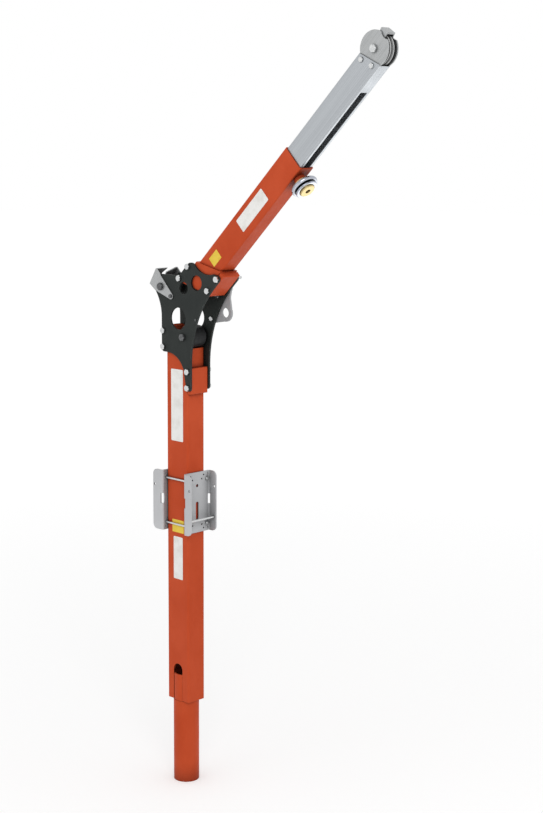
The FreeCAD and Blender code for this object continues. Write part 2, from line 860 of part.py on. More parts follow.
def jib_foot_cut(inset):
    # The foot slants back towards the top and is square across the lower wall.
    y = -half_width - overrun
    top = sleeve_top_foot + inset
    under = sleeve_under_foot + inset
    before = sleeve_top_foot - overrun
    return polygon_plate([
        Vector(under, y, -half_depth - overrun), Vector(under, y, sleeve_wall - half_depth),
        Vector(top, y, half_depth), Vector(top, y, half_depth + overrun),
        Vector(before, y, half_depth + overrun), Vector(before, y, -half_depth - overrun),
    ], along_y * (mast_width + 2 * overrun))


def jib_sleeve():
    length = sleeve_under_end + overrun - sleeve_top_foot
    start = along_x * sleeve_top_foot
    sleeve = rounded_prism(start, along_y, mast_width, along_z, mast_depth, mast_corner, length)
    hollow = rounded_prism(
        start - along_x * overrun, along_y, jib_width + 2 * fixed_gap,
        along_z, jib_depth + 2 * fixed_gap, jib_corner, length + 2 * overrun)
    sleeve = sleeve.cut(hollow)
    slope = (sleeve_top_end - sleeve_under_end) / mast_depth
    y = -half_width - overrun
    rise = half_depth + overrun
    top = sleeve_top_end + slope * overrun
    under = sleeve_under_end - slope * overrun
    beyond = sleeve_under_end + 4 * overrun
    end_cut = polygon_plate([
        Vector(top, y, rise), Vector(under, y, -rise), Vector(beyond, y, -rise), Vector(beyond, y, rise),
    ], along_y * (mast_width + 2 * overrun))
    return on_jib(sleeve.cut([end_cut, jib_foot_cut(0)]))


def jib_tube():
    length = jib_mouth - sleeve_top_foot
    start = along_x * sleeve_top_foot
    tube = rounded_prism(start, along_y, jib_width, along_z, jib_depth, jib_corner, length)
    hollow = rounded_prism(
        start - along_x * overrun, along_y, jib_width - 2 * jib_wall,
        along_z, jib_depth - 2 * jib_wall, jib_corner - jib_wall / 2, length + 2 * overrun)
    tube = tube.cut(hollow)
    clamp = along_x * clamp_out
    stud_hole = rod(clamp, clamp - along_z * (jib_under + overrun), stud_diameter / 2 + hole_gap)
    return on_jib(tube.cut([stud_hole, jib_foot_cut(jib_foot_inset)]))


def jib_block():
    half = half_width - fixed_gap
    low = Vector(jib_block_start, -half, -half_depth - block_thickness)
    high = Vector(jib_block_start + jib_block_length, half, -half_depth)
    block = box(low, high)
    under = [e for e in block.Edges if e.BoundBox.ZMax < low.z + fixed_gap]
    block = block.makeChamfer(block_edge, under)
    for out in jib_lower_bolts:
        hole = Vector(out, 0, -bolt_offset)
        block = block.cut(rod_across(hole, -half_width, half_width, bolt_diameter / 2 + hole_gap))
    return on_jib(block)


# Boom and sheave head, in the jib's axes

def boom_tube():
    length = boom_under_end + overrun - boom_tail
    start = along_x * boom_tail
    tube = rounded_prism(start, along_y, boom_width, along_z, boom_depth, boom_corner, length)
    hollow = rounded_prism(
        start - along_x * overrun, along_y, boom_width - 2 * boom_wall,
        along_z, boom_depth - 2 * boom_wall, boom_corner - boom_wall / 2, length + 2 * overrun)
    tube = tube.cut(hollow)
    slope = (boom_top_end - boom_under_end) / boom_depth
    y = -boom_width / 2 - overrun
    rise = boom_depth / 2 + overrun
    beyond = boom_under_end + 4 * overrun
    end_cut = polygon_plate([
        Vector(boom_top_end + slope * overrun, y, rise), Vector(boom_under_end - slope * overrun, y, -rise),
        Vector(beyond, y, -rise), Vector(beyond, y, rise),
    ], along_y * (boom_width + 2 * overrun))
    tube = tube.cut(end_cut)
    slot_start = Vector((slot_low + slot_high) / 2, 0, -boom_depth / 2 - overrun)
    slot = rounded_prism(
        slot_start, along_x, slot_high - slot_low, along_y, slot_width, slot_corner, boom_wall + 2 * overrun)
    tube = tube.cut(slot)
    # Between the side walls the end is rounded out for the head plates and the sheave.
    tube = tube.cut(rod_across(head_axle_point(), -boom_inner, boom_inner, head_radius + hole_gap))
    for point in head_screw_points():
        tube = tube.cut(rod_across(point, -boom_width, boom_width, head_screw_diameter / 2 + hole_gap))
    return on_jib(tube)


def head_axle_point():
    return Vector(head_out, 0, head_up)


def head_screw_points():
    slope = (boom_top_end - boom_under_end) / boom_depth
    middle = (boom_top_end + boom_under_end) / 2 - head_screw_inset
    return [Vector(middle + slope * up, 0, up) for up in (head_screw_spread, -head_screw_spread)]


def head_plate():
    y = -head_plate_outer
    axle = Vector(head_out, y, head_up)
    half_tail = head_tail_depth / 2
    disc = rod(axle, axle + along_y * head_plate_thickness, head_radius)
    tail = box(Vector(head_tail, y, -half_tail), Vector(head_out, y + head_plate_thickness, half_tail))
    plate = disc.fuse(tail).removeSplitter()
    bite = axle + along_x * bite_out
    plate = plate.cut(rod(bite - along_y * overrun, bite + along_y * overrun, bite_radius))
    plate = plate.cut(rod(axle - along_y * overrun, axle + along_y * overrun, axle_diameter / 2 + fixed_gap))
    for point in head_screw_points():
        plate = plate.cut(rod_across(point, -boom_width, 0, head_screw_diameter / 2 + running_gap))
    return plate


def head_screws():
    screws = []
    for point in head_screw_points():
        seat = -boom_width / 2
        top = seat - head_screw_head_height
        head = hexagon(at_depth(point, top), at_depth(point, seat), head_screw_head)
        shank = rod_across(point, top, -head_plate_inner, head_screw_diameter / 2)
        screws += both_sides(head.fuse(shank).removeSplitter())
    return on_jib(group(screws))


def sheave():
    # Profile from the hub to the grooved rim, turned about the axle.
    half = sheave_width / 2
    web = sheave_web / 2
    groove_half = half * groove_half_share
    hub = bush_radius + fixed_gap
    groove_floor = sheave_radius - sheave_groove - sheave_rim
    rim_inner = groove_floor - sheave_groove
    axle = head_axle_point()

    def spot(radius, y):
        return axle + along_z * radius + along_y * y

    outline = Outline(spot(hub, -half))
    outline.line(spot(sheave_hub_radius, -half))
    outline.line(spot(sheave_hub_radius, -web))
    outline.line(spot(rim_inner, -web))
    outline.line(spot(rim_inner + sheave_rim, -half))
    outline.line(spot(sheave_radius, -half))
    outline.line(spot(sheave_radius, -half + sheave_rim))
    outline.line(spot(groove_floor + sheave_groove / 2, -groove_half))
    outline.arc(spot(groove_floor, 0), spot(groove_floor + sheave_groove / 2, groove_half))
    outline.line(spot(sheave_radius, half - sheave_rim))
    outline.line(spot(sheave_radius, half))
    outline.line(spot(rim_inner + sheave_rim, half))
    outline.line(spot(rim_inner, web))
    outline.line(spot(sheave_hub_radius, web))
    outline.line(spot(sheave_hub_radius, half))
    outline.line(spot(hub, half))
    outline.line(outline.start)
    face = Part.Face(Part.Wire(outline.edges))
    return on_jib(face.revolve(axle, along_y, 360))


def sheave_washers():
    point = head_axle_point()
    near = ring(at_depth(point, -washer_face), at_depth(point, washer_thickness - washer_face),
                sheave_hub_radius, axle_hole)
    return on_jib(group(both_sides(near)))


def keeper_strap():
    # A bar outside the sheave's rim, with a thin leg along each head plate.
    inner = sheave_radius + strap_clearance
    outer = inner + strap_bar
    half = strap_width / 2
    across = washer_face
    axle = head_axle_point()
    bridge = box(Vector(inner, -across, -half), Vector(outer, across, half))
    leg = box(Vector(inner - strap_leg, -across, -half), Vector(outer, strap_sheet - across, half))
    strap = bridge.fuse(both_sides(leg)).removeSplitter()
    bends = [e for e in strap.Edges if e.BoundBox.XMin > outer - fixed_gap and e.BoundBox.ZLength > half]
    strap = strap.makeFillet(strap_bend, bends)
    strap.Placement = Placement(axle, Rotation(along_y, -strap_angle))
    return on_jib(strap)


# Clamp, in the jib's axes

def clamp_spot(down):
    return Vector(clamp_out, 0, -down)


def clamp_boss():
    boss = rod(clamp_spot(jib_under), clamp_spot(boss_face), boss_radius)
    stud_hole = rod(clamp_spot(0), clamp_spot(boss_face + overrun), stud_diameter / 2 + hole_gap)
    return on_jib(boss.cut(stud_hole))


def clamp_stud():
    floor = boom_depth / 2 - boom_wall - fixed_gap
    end = boss_face + fixed_gap + hub_length - hub_recess_depth + stud_end
    shank = rod(clamp_spot(floor - pressure_height), clamp_spot(end), stud_diameter / 2)
    half_length = pressure_length / 2
    half = pressure_width / 2
    plate = box(Vector(clamp_out - half_length, -half, -floor),
                Vector(clamp_out + half_length, half, pressure_height - floor))
    return on_jib(shank.fuse(plate).removeSplitter())


def wheel_hub():
    start = boss_face + fixed_gap
    end = start + hub_length
    hub = rod(clamp_spot(start), clamp_spot(end), hub_radius)
    outer = [e for e in hub.Edges if e.BoundBox.ZMax < -end + fixed_gap]
    hub = hub.makeChamfer(hub_face_chamfer, outer)
    hub = hub.cut(rod(clamp_spot(end - hub_recess_depth), clamp_spot(end + overrun), hub_recess_radius))
    return on_jib(hub.cut(rod(clamp_spot(0), clamp_spot(end + overrun), stud_diameter / 2 + running_gap)))


def hand_wheel():
    # Collar on the hub with a thin web and round rim behind, and a lip in front.
    start = boss_face + fixed_gap + wheel_set_back
    end = start + wheel_collar_length
    middle = boss_face + fixed_gap + wheel_rim_out
    bore = hub_radius + fixed_gap
    collar = ring(clamp_spot(start), clamp_spot(end), bore + wheel_collar, bore)
    lip = ring(clamp_spot(end - wheel_lip_thickness), clamp_spot(end), wheel_lip_radius, bore)
    outer = [e for e in lip.Edges if e.BoundBox.YLength > 2 * wheel_lip_radius - fixed_gap]
    lip = lip.makeFillet(wheel_lip_round, outer)
    rim_centre = wheel_radius - wheel_rim
    rim = Part.makeTorus(rim_centre, wheel_rim, clamp_spot(middle), along_z)
    web = ring(clamp_spot(middle - wheel_web / 2), clamp_spot(middle + wheel_web / 2), rim_centre, bore)
    return on_jib(collar.fuse([web, rim, lip]).removeSplitter())


def build():
    bar_radius = hook_bar_diameter / 2
    front_winch = winch_plate(front_winch_reach).cut(hook_bar(bar_radius + fixed_gap))
    keeper_side = plate_outer + keeper_sheet
    near_head, far_head = both_sides(head_plate())
    cross_points = cross_bolt_points()
    near_holes = [(near_screw_point(), near_screw_diameter)]
    lug_holes = [(point, lug_bolt_diameter) for point in (lug_low_point(), lug_high_point())]
    return {
        "spigot_pipe": spigot_pipe(),
        "mast_tube": mast_tube(),
        "mast_front_block": mast_block(),
        "elbow_plate_near": elbow_plate(-plate_outer, near_holes),
        "elbow_plate_far": elbow_plate(half_width, lug_holes),
        "mast_rear_bolts": straddle_bolts(cross_points[0:2]),
        "mast_front_bolts": straddle_bolts(cross_points[2:4]),
        "jib_lower_bolts": straddle_bolts(cross_points[4:6]),
        "jib_upper_bolts": straddle_bolts(cross_points[6:8]),
        "cross_bolt_nuts": straddle_nuts(),
        "front_roller": roller(roller_point(), roller_radius, roller_length),
        "front_roller_bush": roller_bush(roller_point(), roller_length),
        "front_roller_axle": roller_axle(roller_point(), plate_outer),
        "front_roller_nut": roller_nut(roller_point(), plate_outer),
        "front_roller_collars": roller_collars(roller_point(), roller_length),
        "rear_roller": roller(rear_roller_point(), rear_roller_radius, rear_roller_length),
        "rear_roller_bush": roller_bush(rear_roller_point(), rear_roller_length),
        "rear_roller_axle": roller_axle(rear_roller_point(), keeper_side),
        "rear_roller_nut": roller_nut(rear_roller_point(), keeper_side),
        "rear_roller_collars": roller_collars(rear_roller_point(), rear_roller_length),
        "cable_keeper": cable_keeper(),
        "cable_keeper_screws": keeper_screws(),
        "anchor_lug": anchor_lug(),
        "anchor_lug_bolts": lug_bolts(),
        "anchor_lug_nuts": lug_nuts(),
        "near_plate_screw": near_plate_screw(),
        "front_winch_plate": front_winch,
        "rear_winch_plate": to_rear(winch_plate(rear_winch_reach)),
        "winch_clamp_rods": clamp_rods(),
        "winch_clamp_nuts": clamp_rod_nuts(),
        "front_hook_bar": hook_bar(bar_radius),
        "jib_sleeve": jib_sleeve(),
        "jib_tube": jib_tube(),
        "jib_block": jib_block(),
        "clamp_boss": clamp_boss(),
        "clamp_stud": clamp_stud(),
        "clamp_hub": wheel_hub(),
        "clamp_wheel": hand_wheel(),
        "boom_tube": boom_tube(),
        "head_plate_near": on_jib(near_head),
        "head_plate_far": on_jib(far_head),
        "head_screws": head_screws(),
        "head_axle": on_jib(roller_axle(head_axle_point(), head_plate_outer)),
        "head_axle_nut": on_jib(roller_nut(head_axle_point(), head_plate_outer)),
        "head_sheave": sheave(),
        "head_sheave_bush": on_jib(roller_bush(head_axle_point(), sheave_width)),
        "head_washers": sheave_washers(),
        "head_keeper_strap": keeper_strap(),
    }


os.makedirs("parts", exist_ok=True)
for node, shape in build().items():
    shape.exportStep("parts/" + node + ".step")
    print(node, len(shape.Solids), round(shape.Volume), shape.isValid())
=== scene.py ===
import json
import math
import bmesh
import bpy
from mathutils import Matrix, Vector


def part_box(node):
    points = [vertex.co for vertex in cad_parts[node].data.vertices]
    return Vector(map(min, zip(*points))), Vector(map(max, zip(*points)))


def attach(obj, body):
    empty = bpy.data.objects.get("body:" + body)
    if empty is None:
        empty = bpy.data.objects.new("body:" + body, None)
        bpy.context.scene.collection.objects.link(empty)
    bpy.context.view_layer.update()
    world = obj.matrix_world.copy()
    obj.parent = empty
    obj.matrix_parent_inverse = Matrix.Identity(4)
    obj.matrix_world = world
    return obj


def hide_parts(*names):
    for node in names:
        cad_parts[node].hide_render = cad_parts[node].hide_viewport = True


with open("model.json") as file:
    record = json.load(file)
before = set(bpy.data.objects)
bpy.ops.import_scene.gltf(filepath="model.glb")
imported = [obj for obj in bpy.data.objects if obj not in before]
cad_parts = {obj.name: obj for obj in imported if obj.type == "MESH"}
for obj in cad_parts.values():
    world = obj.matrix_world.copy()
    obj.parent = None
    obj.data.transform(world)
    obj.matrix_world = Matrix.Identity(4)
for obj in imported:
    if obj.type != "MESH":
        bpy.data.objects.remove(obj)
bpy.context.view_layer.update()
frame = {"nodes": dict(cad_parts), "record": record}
nodes = frame["nodes"]
scene = bpy.context.scene

# The crane's own axes: the jib leans off the mast at the elbow.
elbow = {"height": 1.429, "jibAngle": 44.0}
jibTurn = math.radians(elbow["jibAngle"])
elbowPoint = Vector((0, 0, elbow["height"]))
jibOut = Vector((math.cos(jibTurn), 0, math.sin(jibTurn)))
jibUp = Vector((-math.sin(jibTurn), 0, math.cos(jibTurn)))
towardNear = Vector((0, -1, 0))
towardFar = Vector((0, 1, 0))


def onJib(out, up, y=0.0):
    return elbowPoint + jibOut * out + jibUp * up + towardFar * y


def atElbow(x, rise):
    return elbowPoint + Vector((x, 0, rise))


# Camera where the photograph was taken from.
photoCamera = {"place": (3.3823, -3.1215, 1.9184), "azimuth": 44.176, "pitch": 9.605, "roll": -0.343,
               "lens": 70.85, "sensor": 36.0}


def setCamera():
    azimuth = math.radians(photoCamera["azimuth"])
    pitch = math.radians(photoCamera["pitch"])
    roll = math.radians(photoCamera["roll"])
    flat = math.cos(pitch)
    ahead = Vector((-math.sin(azimuth) * flat, math.cos(azimuth) * flat, -math.sin(pitch)))
    level = Vector((math.cos(azimuth), math.sin(azimuth), 0))
    down = ahead.cross(level)
    right = level * math.cos(roll) + down * math.sin(roll)
    up = level * math.sin(roll) - down * math.cos(roll)
    data = bpy.data.cameras.new("photoCamera")
    data.lens = photoCamera["lens"]
    data.sensor_width = photoCamera["sensor"]
    data.sensor_fit = "AUTO"
    camera = bpy.data.objects.new("photoCamera", data)
    turn = Matrix((right, up, -ahead)).transposed().to_4x4()
    camera.matrix_world = Matrix.Translation(photoCamera["place"]) @ turn
    scene.collection.objects.link(camera)
    scene.camera = camera


setCamera()
print("camera set")

# Node helpers shared by every finish.
textureAxes = {"upright": (0, 0, 0), "alongJib": (0, -jibTurn, 0)}
edgeLook = {"samples": 6, "flat": 0.985, "wornAndHighlit": 0.9}  # how well bevelled and true normals agree
creviceLook = {"samples": 8, "closed": 0.15, "open": 0.85}  # shares of the sky that a spot sees
mixSockets = {"first": 6, "second": 7, "result": 2}  # the colour sockets of a Mix node


def linear(red, green, blue):
    # Levels of 0 to 255 on a screen, turned into light by the sRGB curve.
    def channel(value):
        share = value / 255
        return share / 12.92 if share <= 0.04045 else ((share + 0.055) / 1.055) ** 2.4
    return (channel(red), channel(green), channel(blue), 1.0)


def addNode(tree, kind, **settings):
    node = tree.nodes.new(kind)
    for key, value in settings.items():
        setattr(node, key, value)
    return node


def startFinish(name):
    material = bpy.data.materials.new(name)
    material.use_nodes = True
    tree = material.node_tree
    return material, tree, tree.nodes["Principled BSDF"]


def grainCoords(tree, size, axes):
    coords = addNode(tree, "ShaderNodeTexCoord")
    # A TEXTURE mapping takes the grain's own size, in metres.
    mapping = addNode(tree, "ShaderNodeMapping", vector_type="TEXTURE")
    mapping.inputs["Rotation"].default_value = textureAxes[axes]
    mapping.inputs["Scale"].default_value = size
    tree.links.new(coords.outputs["Object"], mapping.inputs["Vector"])
    return mapping.outputs["Vector"]


def grain(tree, size, axes="upright", *, detail, roughness=0.5):
    noise = addNode(tree, "ShaderNodeTexNoise")
    noise.inputs["Scale"].default_value = 1.0
    noise.inputs["Detail"].default_value = detail
    noise.inputs["Roughness"].default_value = roughness
    tree.links.new(grainCoords(tree, size, axes), noise.inputs["Vector"])
    return noise.outputs["Fac"]


def twoTone(tree, value, look, stops):
    ramp = addNode(tree, "ShaderNodeValToRGB")
    for mark, place, tone in zip(ramp.color_ramp.elements, stops, ("dark", "light")):
        mark.position = place
        mark.color = look[tone]
    tree.links.new(value, ramp.inputs["Fac"])
    return ramp.outputs["Color"]


def spread(tree, value, low, high, fromLow=0.3, fromHigh=0.7):
    remap = addNode(tree, "ShaderNodeMapRange")
    remap.inputs["From Min"].default_value = fromLow
    remap.inputs["From Max"].default_value = fromHigh
    remap.inputs["To Min"].default_value = low
    remap.inputs["To Max"].default_value = high
    tree.links.new(value, remap.inputs["Value"])
    return remap.outputs["Result"]


def mixColours(tree, share, first, second):
    mix = addNode(tree, "ShaderNodeMix", data_type="RGBA")
    tree.links.new(share, mix.inputs["Factor"])
    tree.links.new(first, mix.inputs[mixSockets["first"]])
    mix.inputs[mixSockets["second"]].default_value = second
    return mix.outputs[mixSockets["result"]]


def bevelledNormal(tree, radius):
    bevel = addNode(tree, "ShaderNodeBevel", samples=edgeLook["samples"])
    bevel.inputs["Radius"].default_value = radius
    return bevel.outputs["Normal"]


def wornAndHighlitEdges(tree, radius, patch):
    # Bevelled and true normals differ only near an edge, and the patch breaks the mark up. The edge mark is
    # partly wear and partly a painted highlight along the edges.
    surface = addNode(tree, "ShaderNodeNewGeometry")
    match = addNode(tree, "ShaderNodeVectorMath", operation="DOT_PRODUCT")
    tree.links.new(bevelledNormal(tree, radius), match.inputs[0])
    tree.links.new(surface.outputs["Normal"], match.inputs[1])
    edge = spread(tree, match.outputs["Value"], 0.0, 1.0, edgeLook["flat"], edgeLook["wornAndHighlit"])
    wearAndHighlight = addNode(tree, "ShaderNodeMath", operation="MULTIPLY", use_clamp=True)
    tree.links.new(edge, wearAndHighlight.inputs[0])
    tree.links.new(patch, wearAndHighlight.inputs[1])
    return wearAndHighlight.outputs["Value"]


def paintedCreviceShade(tree, colour, look):
    # Painted shade: the colour is darkened where the way out is narrow, in seams, holes, slots and inside
    # corners.
    hollow = addNode(tree, "ShaderNodeAmbientOcclusion", samples=creviceLook["samples"])
    hollow.inputs["Distance"].default_value = look["reach"]
    closed = spread(tree, hollow.outputs["AO"], 1.0, 0.0, creviceLook["closed"], creviceLook["open"])
    return mixColours(tree, closed, colour, look["shadeAndGrime"])


def softEdges(tree, shader, radius, height, distance, strength):
    bump = addNode(tree, "ShaderNodeBump")
    bump.inputs["Strength"].default_value = strength
    bump.inputs["Distance"].default_value = distance
    tree.links.new(height, bump.inputs["Height"])
    tree.links.new(bevelledNormal(tree, radius), bump.inputs["Normal"])
    tree.links.new(bump.outputs["Normal"], shader.inputs["Normal"])


# Powder coats: mottled colour, orange peel, painted shade in the seams, and paint thinned along the edges,
# which also paints a highlight there.
powderGrain = {"mottle": (0.09, 0.09, 0.13), "mottleStops": (0.32, 0.68), "chips": (0.012, 0.012, 0.012),
               "chipRange": (0.42, 0.62), "mostWearAndHighlight": 0.9, "scuff": (0.03, 0.03, 0.05),
               "peelHeight": 0.00008, "peelStrength": 0.35}
powderCoats = {
    "orangePowder": {"dark": linear(190, 72, 36), "light": linear(202, 82, 46), "wornAndHighlit": linear(210, 98, 64),
                     "shadeAndGrime": linear(66, 18, 10), "reach": 0.09, "roughLow": 0.4, "roughHigh": 0.54,
                     "gloss": 0.1, "peel": 0.0016, "edge": 0.0014},
    "blackPowder": {"dark": linear(40, 44, 43), "light": linear(50, 54, 52), "wornAndHighlit": linear(112, 116, 115),
                    "shadeAndGrime": linear(8, 8, 8), "reach": 0.04, "roughLow": 0.44, "roughHigh": 0.58,
                    "gloss": 0.14, "peel": 0.0012, "edge": 0.0009},
    "greyPowder": {"dark": linear(187, 188, 190), "light": linear(201, 202, 204),
                   "wornAndHighlit": linear(216, 217, 218), "shadeAndGrime": linear(38, 38, 40), "reach": 0.08,
                   "roughLow": 0.36, "roughHigh": 0.5,
                   "gloss": 0.25, "peel": 0.0011, "edge": 0.0009},
    "lugPowder": {"dark": linear(162, 163, 165), "light": linear(175, 176, 178),
                  "wornAndHighlit": linear(196, 197, 198), "shadeAndGrime": linear(38, 38, 40), "reach": 0.03,
                  "roughLow": 0.36, "roughHigh": 0.5,
                  "gloss": 0.25, "peel": 0.0011, "edge": 0.0009},
}


def powderCoat(name):
    look = powderCoats[name]
    material, tree, shader = startFinish(name)
    mottle = grain(tree, powderGrain["mottle"], detail=5.0)
    colour = twoTone(tree, mottle, look, powderGrain["mottleStops"])
    chips = grain(tree, powderGrain["chips"], detail=4.0)
    patch = spread(tree, chips, 0.0, powderGrain["mostWearAndHighlight"], *powderGrain["chipRange"])
    # The edges are lightened as worn paint and as a painted highlight.
    colour = mixColours(tree, wornAndHighlitEdges(tree, look["edge"], patch), colour, look["wornAndHighlit"])
    # Painted shade in seams and hollows goes into the base colour here.
    tree.links.new(paintedCreviceShade(tree, colour, look), shader.inputs["Base Color"])
    scuff = grain(tree, powderGrain["scuff"], detail=6.0, roughness=0.6)
    tree.links.new(spread(tree, scuff, look["roughLow"], look["roughHigh"]), shader.inputs["Roughness"])
    shader.inputs["Specular IOR Level"].default_value = look["gloss"]
    peel = grain(tree, (look["peel"],) * 3, detail=2.0)
    softEdges(tree, shader, look["edge"], peel, powderGrain["peelHeight"], powderGrain["peelStrength"])
    return material


# Bare and plated metals: fine streaks in one direction, clouded roughness, edges rubbed bright, which also
# paints a highlight there.
metalGrain = {"cloud": (0.05, 0.05, 0.05), "streakStops": (0.3, 0.7), "wearAndHighlight": (0.1, 0.7),
              "wearRange": (0.35, 0.65), "streakHeight": 0.00003, "streakStrength": 0.25}
bareMetals = {
    "brushedBoom": {"dark": linear(167, 171, 175), "light": linear(185, 189, 193), "rough": (0.3, 0.42),
                    "streak": (0.4, 0.0016, 0.0016), "axes": "alongJib", "metal": 0.85, "edge": 0.0012,
                    "shadeAndGrime": linear(26, 28, 30), "reach": 0.03},
    "brightSheet": {"dark": linear(163, 165, 165), "light": linear(184, 186, 187), "rough": (0.36, 0.5),
                    "streak": (0.06, 0.0012, 0.0012), "axes": "alongJib", "metal": 0.75, "edge": 0.0007,
                    "shadeAndGrime": linear(14, 14, 15), "reach": 0.04},
    "zincBolt": {"dark": linear(190, 192, 194), "light": linear(224, 225, 224), "rough": (0.24, 0.4),
                 "streak": (0.004, 0.004, 0.004), "axes": "upright", "metal": 1.0, "edge": 0.0006,
                 "shadeAndGrime": linear(40, 40, 42), "reach": 0.008},
    "blackOxide": {"dark": linear(62, 63, 65), "light": linear(118, 119, 120), "rough": (0.3, 0.44),
                   "streak": (0.004, 0.004, 0.004), "axes": "upright", "metal": 0.7, "edge": 0.0006,
                   "shadeAndGrime": linear(12, 12, 12), "reach": 0.008},
    "turnedBrass": {"dark": linear(188, 166, 112), "light": linear(220, 200, 148), "rough": (0.26, 0.4),
                    "streak": (0.0012, 0.0012, 0.02), "axes": "alongJib", "metal": 0.9, "edge": 0.0008,
                    "shadeAndGrime": linear(60, 44, 20), "reach": 0.008},
    "bearingBronze": {"dark": linear(136, 98, 56), "light": linear(168, 126, 74), "rough": (0.32, 0.46),
                      "streak": (0.003, 0.02, 0.003), "axes": "upright", "metal": 1.0, "edge": 0.0005,
                      "shadeAndGrime": linear(40, 26, 12), "reach": 0.008},
    # Painted reflection: the dark bluish streaks stand in for dark surroundings mirrored in the chrome.
    "chromeWithPaintedReflection": {"dark": linear(84, 90, 108), "light": linear(224, 228, 236), "rough": (0.06, 0.14),
                       "streak": (0.4, 0.4, 0.005), "axes": "alongJib", "metal": 1.0, "edge": 0.0008,
                       "shadeAndGrime": linear(26, 28, 36), "reach": 0.015},
}


def bareMetal(name):
    look = bareMetals[name]
    material, tree, shader = startFinish(name)
    streaks = grain(tree, look["streak"], look["axes"], detail=4.0, roughness=0.55)
    cloud = grain(tree, metalGrain["cloud"], look["axes"], detail=4.0)
    colour = twoTone(tree, streaks, look, metalGrain["streakStops"])
    patch = spread(tree, cloud, *metalGrain["wearAndHighlight"], *metalGrain["wearRange"])
    # The edges are lightened as rubbed metal and as a painted highlight.
    colour = mixColours(tree, wornAndHighlitEdges(tree, look["edge"], patch), colour, look["light"])
    # Painted shade in seams and hollows goes into the base colour here.
    tree.links.new(paintedCreviceShade(tree, colour, look), shader.inputs["Base Color"])
    tree.links.new(spread(tree, cloud, *look["rough"]), shader.inputs["Roughness"])
    shader.inputs["Metallic"].default_value = look["metal"]
    softEdges(tree, shader, look["edge"], streaks, metalGrain["streakHeight"], metalGrain["streakStrength"])
    return material


# Turned nylon: lathe rings across the axle, dull and slightly cloudy.
nylonGrain = {"rings": (0.5, 0.0011, 0.5), "cloud": (0.02, 0.02, 0.02), "cloudStops": (0.35, 0.65),
              "edge": 0.0012, "ringHeight": 0.0001, "ringStrength": 0.4}
nylons = {
    "blackNylon": {"dark": linear(24, 25, 26), "light": linear(38, 39, 40), "rough": (0.42, 0.58),
                   "gloss": 0.2, "shadeAndGrime": linear(6, 6, 6), "reach": 0.02},
    "greyNylon": {"dark": linear(186, 188, 188), "light": linear(208, 209, 208), "rough": (0.4, 0.56),
                  "gloss": 0.4, "shadeAndGrime": linear(8, 8, 8), "reach": 0.03},
}


def turnedNylon(name):
    look = nylons[name]
    material, tree, shader = startFinish(name)
    rings = grain(tree, nylonGrain["rings"], detail=2.0)
    cloud = grain(tree, nylonGrain["cloud"], detail=5.0)
    colour = twoTone(tree, cloud, look, nylonGrain["cloudStops"])
    # Painted shade in gaps and grooves goes into the base colour here.
    tree.links.new(paintedCreviceShade(tree, colour, look), shader.inputs["Base Color"])
    tree.links.new(spread(tree, rings, *look["rough"]), shader.inputs["Roughness"])
    shader.inputs["Specular IOR Level"].default_value = look["gloss"]
    softEdges(tree, shader, nylonGrain["edge"], rings, nylonGrain["ringHeight"], nylonGrain["ringStrength"])
    return material


# Sticker vinyl: nearly even colour, a little grime, faint ripples where it was smoothed down.
vinylGrain = {"shadeAndGrime": (0.03, 0.03, 0.03), "grimeStops": (0.34, 0.56), "rough": (0.3, 0.42),
              "ripples": (0.012, 0.012, 0.05), "edge": 0.0004, "rippleHeight": 0.0002, "rippleStrength": 0.3}
vinyls = {
    "whiteVinyl": {"dark": linear(228, 226, 221), "light": linear(242, 241, 238)},
    "yellowVinyl": {"dark": linear(226, 190, 44), "light": linear(240, 208, 66)},
}


def stickerVinyl(name):
    look = vinyls[name]
    material, tree, shader = startFinish(name)
    shadeAndGrime = grain(tree, vinylGrain["shadeAndGrime"], detail=6.0, roughness=0.6)
    tree.links.new(twoTone(tree, shadeAndGrime, look, vinylGrain["grimeStops"]), shader.inputs["Base Color"])
    tree.links.new(spread(tree, shadeAndGrime, *vinylGrain["rough"]), shader.inputs["Roughness"])
    ripples = grain(tree, vinylGrain["ripples"], detail=2.0)
    softEdges(tree, shader, vinylGrain["edge"], ripples, vinylGrain["rippleHeight"],
              vinylGrain["rippleStrength"])
    return material


finishes = {name: powderCoat(name) for name in powderCoats}
finishes.update({name: bareMetal(name) for name in bareMetals})
finishes.update({name: turnedNylon(name) for name in nylons})
finishes.update({name: stickerVinyl(name) for name in vinyls})
slotFinish = {
    "orange_paint": "orangePowder", "black_paint": "blackPowder", "grey_paint": "greyPowder",
    "zinc_steel": "zincBolt", "black_oxide": "blackOxide", "bright_steel": "brightSheet",
    "aluminium": "brushedBoom", "black_nylon": "blackNylon", "grey_nylon": "greyNylon",
    "bronze": "bearingBronze", "brass": "turnedBrass", "chrome": "chromeWithPaintedReflection",
}
# Two pieces are duller in the photo than the rest of their slot.
dullerNodes = {"head_keeper_strap": "brightSheet", "anchor_lug": "lugPowder"}
for part in frame["record"]["subparts"]:
    finish = dullerNodes.get(part["node"], slotFinish[part["material_slot"]])
    cadMesh = nodes[part["node"]].data
    cadMesh.materials.clear()
    cadMesh.materials.append(finishes[finish])

# Hex fasteners, grown by Geometry Nodes on one point for each bolt or nut.
hexShape = {"sides": 6, "corner": 1 / math.sqrt(3), "coneSides": 48, "chamferSlope": math.sqrt(3),
            "topDisc": 0.47}
threadShape = {"rodSides": 24, "core": 0.97, "turnSteps": 16, "ridge": 0.4, "ridgeSides": 3}
randomSockets = {"highest": 3, "value": 1}  # the float sockets of a Random Value node
socketNames = ("Across Flats", "Head Height", "Shank Radius", "Shank Length", "Thread Length", "Thread Pitch")


